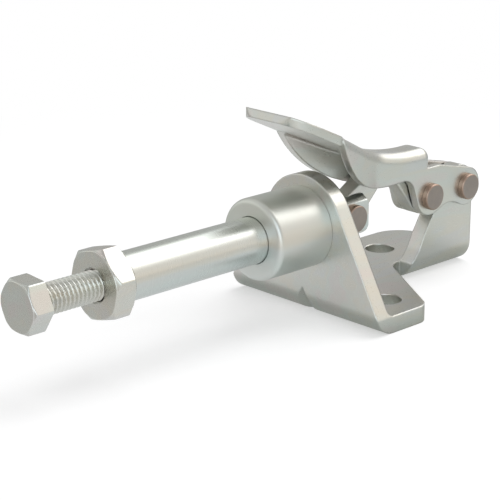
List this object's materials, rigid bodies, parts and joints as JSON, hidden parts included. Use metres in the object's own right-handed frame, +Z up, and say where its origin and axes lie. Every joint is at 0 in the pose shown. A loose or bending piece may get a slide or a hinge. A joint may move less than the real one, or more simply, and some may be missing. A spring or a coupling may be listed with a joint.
{
  "type": "straight-line toggle clamp",
  "caption": "Push-type toggle clamp: a hand lever and link drive a plunger straight through a flanged base, with a screwed spindle and lock nut at its nose.",
  "frame": {"origin": "on the mounting plane, midway between the two front mounting holes, under the plunger's axis", "axes": "+X the way the plunger advances, +Z up from the mounting plane, +Y to the side away from the rear mounting hole"},
  "size_m": [0.103, 0.035, 0.0369],
  "materials": {
    "plated_sheet": "bright zinc plating, satin",
    "plated_turned": "bright zinc plating, satin",
    "plated_fastener": "bright zinc plating, satin",
    "pin_steel": "bare brownish steel, satin"
  },
  "bodies": {
    "base": {"base_bracket": "plated_sheet", "guide_barrel": "plated_turned"},
    "handle": {"handle": "plated_sheet", "handle_pin": "pin_steel", "link_pin": "pin_steel"},
    "link": {"link": "plated_sheet"},
    "plunger": {"plunger": "plated_turned", "plunger_pin": "pin_steel"},
    "spindle": {"spindle_bolt": "plated_fastener"},
    "nut": {"lock_nut": "plated_fastener"}
  },
  "joints": [
    {"name": "handle_swing", "type": "hinge", "parent": "base", "child": "handle", "pos_m": [-0.03016, 0, 0.0158], "axis": [0, -1, 0], "range_deg": [0, 110]},
    {"name": "link_swing", "type": "hinge", "parent": "handle", "child": "link", "pos_m": [-0.02016, 0, 0.0158], "axis": [0, 1, 0], "range_deg": [0, 138]},
    {"name": "plunger_slide", "type": "slide", "parent": "base", "child": "plunger", "axis": [-1, 0, 0], "range_m": [0, 0.01576]},
    {"name": "spindle_screw", "type": "slide", "parent": "plunger", "child": "spindle", "axis": [1, 0, 0], "range_m": [-0.0105, 0.005]},
    {"name": "nut_turn", "type": "hinge", "parent": "plunger", "child": "nut", "pos_m": [0.05274, 0, 0.0158], "axis": [1, 0, 0], "continuous": true}
  ],
  "couplings": [
    {"joint": "link_swing", "follows": "handle_swing", "ratio": 1.2534},
    {"joint": "plunger_slide", "follows": "handle_swing", "m_per_rad": 0.0082048}
  ]
}
